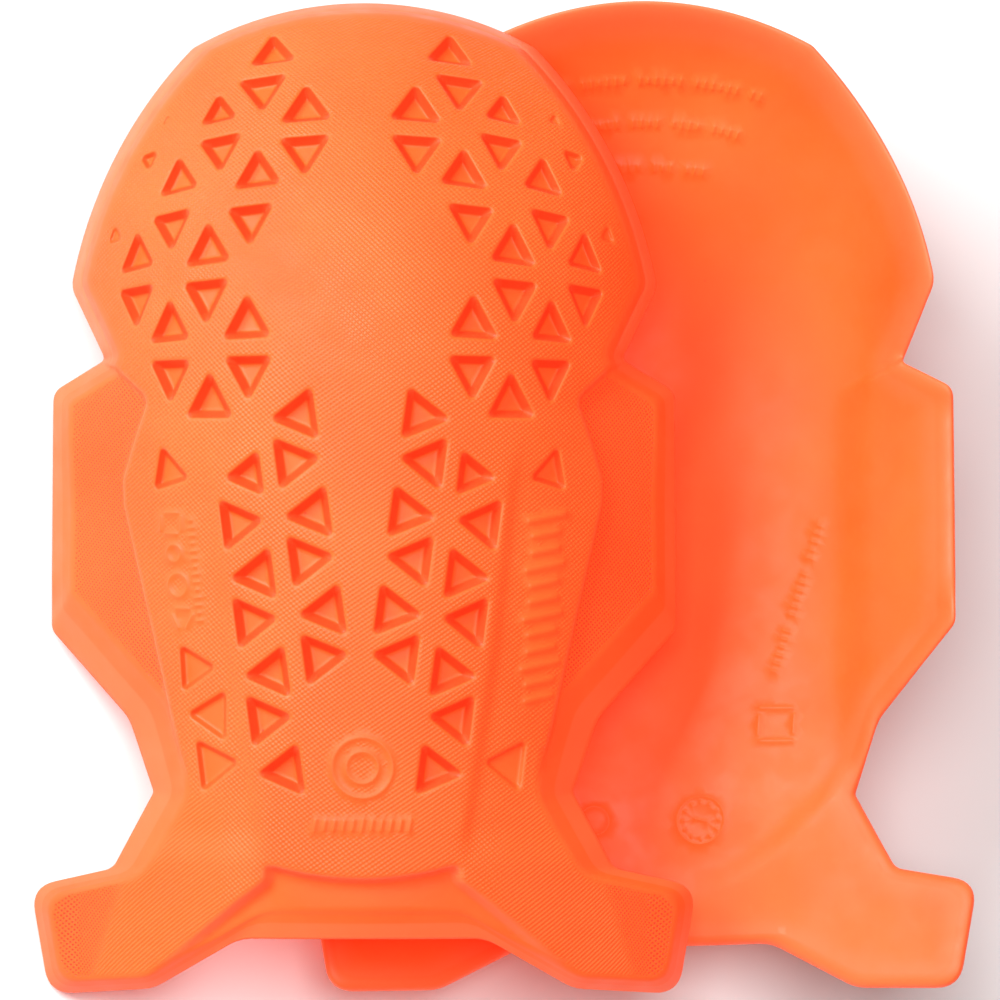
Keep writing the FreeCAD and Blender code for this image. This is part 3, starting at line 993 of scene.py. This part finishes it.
def foam():
    material = bpy.data.materials.new("orange foam")
    material.use_nodes = True
    material.node_tree.nodes.clear()
    n = Nodes(material.node_tree)
    place = n.attribute("place")
    weave = n.attribute("weave")
    knurl, pits, lines = n.split(n.attribute("texture"))
    # Tone holds the painted highlight, a flag for the cup and the painted shade of the pocket walls.
    rim, inner, pocket = n.split(n.attribute("tone"))

    # Knurl: two sets of waves that cross. Pits and fine lines use the same waves.
    def wave(direction, pitch):
        turns = tuple(2 * math.pi / pitch * d for d in direction)
        return n.math("SINE", n.dot(weave, turns))

    rising = wave((-math.sin(0.58), math.cos(0.58), 0.0), KNURL_PITCH)
    falling = wave((math.sin(0.80), math.cos(0.80), 0.0), KNURL_PITCH)
    crossed = n.math("MULTIPLY_ADD", falling, 0.95, rising)
    bumps = n.math("MULTIPLY_ADD", crossed, 0.28, 0.5)
    dots = n.ramp(crossed, 0.6, 1.35)
    stripe = n.math("MULTIPLY_ADD", rising, 0.5, 0.5)
    height = n.math("MULTIPLY", bumps, knurl)
    height = n.math("MULTIPLY_ADD", n.math("MULTIPLY", dots, pits), -2.4, height)
    height = n.math("MULTIPLY_ADD", n.math("MULTIPLY", stripe, lines), 0.7, height)
    grain = n.noise(place, 3.0, 3.0, 0.6)
    height = n.math("MULTIPLY_ADD", grain, 0.16, height)

    # Colour: warm orange with soft drifts, a paler painted highlight on the rims, walls and step,
    # painted shade in the pockets and pits, and specks where the foam is marked.
    drift = n.noise(place, 0.035, 2.0)
    base = n.mix(n.ramp(drift, 0.35, 0.65), FOAM_DEEP, FOAM)
    # The painted highlight on rims, walls and the step.
    base = n.mix(rim, base, FOAM_PAINTED_HIGHLIGHT)
    # Painted shade on the pocket walls.
    base = n.mix(n.math("MULTIPLY", pocket, 0.52), base, FOAM_PAINTED_SHADE)
    # Painted shade in the pits of the wings and feet.
    painted_pit_shade = n.math("MULTIPLY", n.math("MULTIPLY", dots, pits), 0.85)
    base = n.mix(painted_pit_shade, base, FOAM_PAINTED_SHADE)
    cloud = n.noise(place, 0.45, 3.0, 0.65)
    base = n.mix(n.ramp(cloud, 0.60, 0.85, 0.0, 0.10), base, FOAM_WORN)
    voronoi = n.new("ShaderNodeTexVoronoi", feature="F1")
    n.put(voronoi.inputs["Vector"], place)
    n.put(voronoi.inputs["Scale"], 0.11)
    speck = n.ramp(voronoi.outputs["Distance"], 0.018, 0.035, 1.0, 0.0)
    rare = n.ramp(n.split(voronoi.outputs["Color"])[0], 0.72, 0.75)
    base = n.mix(n.math("MULTIPLY", n.math("MULTIPLY", speck, rare), 0.7), base, FOAM_SPECK)

    bump = n.new("ShaderNodeBump")
    n.put(bump.inputs["Height"], height)
    n.put(bump.inputs["Strength"], 0.75)
    n.put(bump.inputs["Distance"], 0.00016)
    shader = n.new("ShaderNodeBsdfPrincipled")
    n.put(shader.inputs["Base Color"], base)
    gloss = n.ramp(n.noise(place, 0.16, 3.0), 0.35, 0.65, 0.46, 0.58)
    n.put(shader.inputs["Roughness"], gloss)
    n.put(shader.inputs["Specular IOR Level"], 0.35)
    n.put(shader.inputs["Subsurface Weight"], 0.18)
    n.put(shader.inputs["Subsurface Radius"], (1.0, 0.35, 0.12))
    n.put(shader.inputs["Subsurface Scale"], 0.0013)
    # A faint red emission, a painted glow: it keeps the foam red where it lies in shade.
    n.put(shader.inputs["Emission Color"], (1.0, 0.04, 0.01, 1.0))
    n.put(shader.inputs["Emission Strength"], 0.30)
    n.put(shader.inputs["Normal"], bump.outputs["Normal"])
    out = n.new("ShaderNodeOutputMaterial")
    n.put(out.inputs["Surface"], shader.outputs[0])
    return material


# ---------------------------------------------------------------- scene


def pad_frame(record, side):
    """A pad's own axes and origin, from the two mounts that are on it."""
    mounts = {m["name"]: m for m in record["mounts"]}
    along = -Vector(mounts[side + "_pocket_edge"]["axis"]).normalized()
    out = -Vector(mounts[side + "_knee_cup"]["axis"]).normalized()
    across = along.cross(out).normalized()
    along = out.cross(across)
    origin = Vector(mounts[side + "_knee_cup"]["pos_m"]) - 0.020 * along + 0.012 * out
    matrix = Matrix((across, along, out)).transposed().to_4x4()
    matrix.translation = origin
    return matrix


def area_light(name, at, target, size, power, colour=(1.0, 1.0, 1.0)):
    light = bpy.data.lights.new(name, "AREA")
    light.size = size
    light.energy = power
    light.color = colour
    obj = bpy.data.objects.new(name, light)
    obj.location = at
    obj.rotation_mode = "QUATERNION"
    obj.rotation_quaternion = (Vector(target) - Vector(at)).to_track_quat("-Z", "Y")
    bpy.context.scene.collection.objects.link(obj)
    return obj


def main():
    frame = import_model()
    material = foam()
    moulding = Pad().mesh("moulding")
    moulding.materials.append(material)
    frames = {side: pad_frame(frame["record"], side) for side in ("left", "right")}
    for side, matrix in frames.items():
        shape = moulding.copy()
        shape.name = f"{side}_moulded_pad"
        shape.transform(matrix)
        obj = bpy.data.objects.new(f"{side}_moulded_pad", shape)
        bpy.context.scene.collection.objects.link(obj)
        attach(obj, f"{side}_pad")
        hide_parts(f"{side}_knee_pad")

    # Camera: square to the outer face of the pad on the left, far back, as a long lens sees it.
    left = frames["left"]
    across, along, out = (left.to_3x3() @ Vector(a) for a in ((1, 0, 0), (0, 1, 0), (0, 0, 1)))
    aim = left.translation + (VIEW_ACROSS * across + VIEW_ALONG * along - RIM_PLANE * out) / 1000
    camera = bpy.data.cameras.new("camera")
    camera_obj = bpy.data.objects.new("camera", camera)
    bpy.context.scene.collection.objects.link(camera_obj)
    camera_obj.matrix_world = Matrix((across, along, out)).transposed().to_4x4()
    camera_obj.location = aim + out * VIEW_DISTANCE
    camera.sensor_width = SENSOR_WIDTH
    camera.lens = SENSOR_WIDTH * VIEW_DISTANCE / (VIEW_WIDTH / 1000)
    camera.clip_start, camera.clip_end = 0.1, 20.0
    bpy.context.scene.camera = camera_obj

    bpy.ops.mesh.primitive_plane_add(size=8.0, location=(0, 0, 0))
    floor = bpy.context.object
    floor.name = "floor"
    pale = bpy.data.materials.new("pale floor")
    pale.use_nodes = True
    shader = pale.node_tree.nodes["Principled BSDF"]
    shader.inputs["Base Color"].default_value = FLOOR_GREY
    shader.inputs["Roughness"].default_value = 0.9
    floor.data.materials.append(pale)

    world = bpy.data.worlds.new("studio")
    bpy.context.scene.world = world
    world.use_nodes = True
    world.node_tree.nodes["Background"].inputs["Color"].default_value = (1.0, 0.99, 0.98, 1.0)
    world.node_tree.nodes["Background"].inputs["Strength"].default_value = 0.22
    centre = left.translation + 0.03 * across

    def from_camera(x, y, z):
        return centre + across * x + along * y + out * z

    area_light("key", from_camera(-0.85, 0.75, 1.1), centre, 0.9, 34.0)
    area_light("front", from_camera(0.15, 0.25, 1.9), centre, 0.9, 24.0)

    bpy.context.scene.view_settings.view_transform = "Standard"
    bpy.context.scene.view_settings.look = "None"


main()
